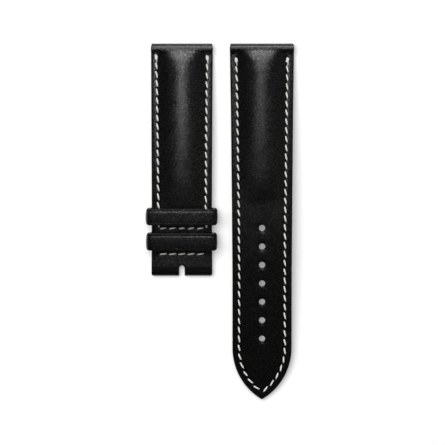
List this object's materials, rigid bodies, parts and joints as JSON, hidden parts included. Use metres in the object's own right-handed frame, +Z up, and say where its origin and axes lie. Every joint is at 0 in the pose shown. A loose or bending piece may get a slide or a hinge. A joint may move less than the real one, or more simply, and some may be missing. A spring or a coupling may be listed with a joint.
{
  "type": "leather watch strap",
  "caption": "Two-piece padded leather watch strap with stitched edges, a fixed and a floating keeper, spring bar tunnels at the lug and buckle ends and punched tongue holes.",
  "frame": {"origin": "bottom centre of the whole object's box, on the surface that both pieces lie on", "axes": "+Z up, away from the surface; +Y along both pieces towards their lug ends; +X from the short piece to the long one"},
  "size_m": [0.0477, 0.1149, 0.0083],
  "materials": {
    "top_leather": "smooth black calf, low sheen",
    "keeper_leather": "smooth black calf with pressed edge lines",
    "lining_leather": "matt black nubuck lining",
    "padding_felt": "pressed felt filler",
    "stay_tape": "woven stay tape",
    "seam_thread": "off-white waxed polyester thread",
    "black_thread": "black waxed thread"
  },
  "bodies": {
    "short_piece": {"short_top_leather": "top_leather", "short_lining": "lining_leather", "short_padding": "padding_felt", "short_stay_tape": "stay_tape", "fixed_keeper_leather": "keeper_leather", "fixed_keeper_lining": "lining_leather", "short_left_seam_needle_thread": "seam_thread", "short_left_seam_bobbin_thread": "seam_thread", "short_right_seam_needle_thread": "seam_thread", "short_right_seam_bobbin_thread": "seam_thread", "upper_cross_seam_needle_thread": "seam_thread", "upper_cross_seam_bobbin_thread": "seam_thread", "lower_cross_seam_needle_thread": "seam_thread", "lower_cross_seam_bobbin_thread": "seam_thread"},
    "floating_keeper": {"floating_keeper_leather": "keeper_leather", "floating_keeper_lining": "lining_leather", "floating_keeper_joint_thread": "black_thread"},
    "long_piece": {"long_top_leather": "top_leather", "long_lining": "lining_leather", "long_padding": "padding_felt", "long_stay_tape": "stay_tape", "long_seam_needle_thread": "seam_thread", "long_seam_bobbin_thread": "seam_thread"}
  },
  "joints": [
    {"name": "floating_keeper_travel", "type": "hinge", "parent": "short_piece", "child": "floating_keeper", "pos_m": [-0.01238, 0.01986, -0.22713], "axis": [-1, 0, 0], "range_deg": [-0.45, 9.4]},
    {"name": "long_piece_lift", "type": "slide", "parent": "short_piece", "child": "long_piece", "axis": [0, 0, 1], "range_m": [0, 0.04]}
  ]
}
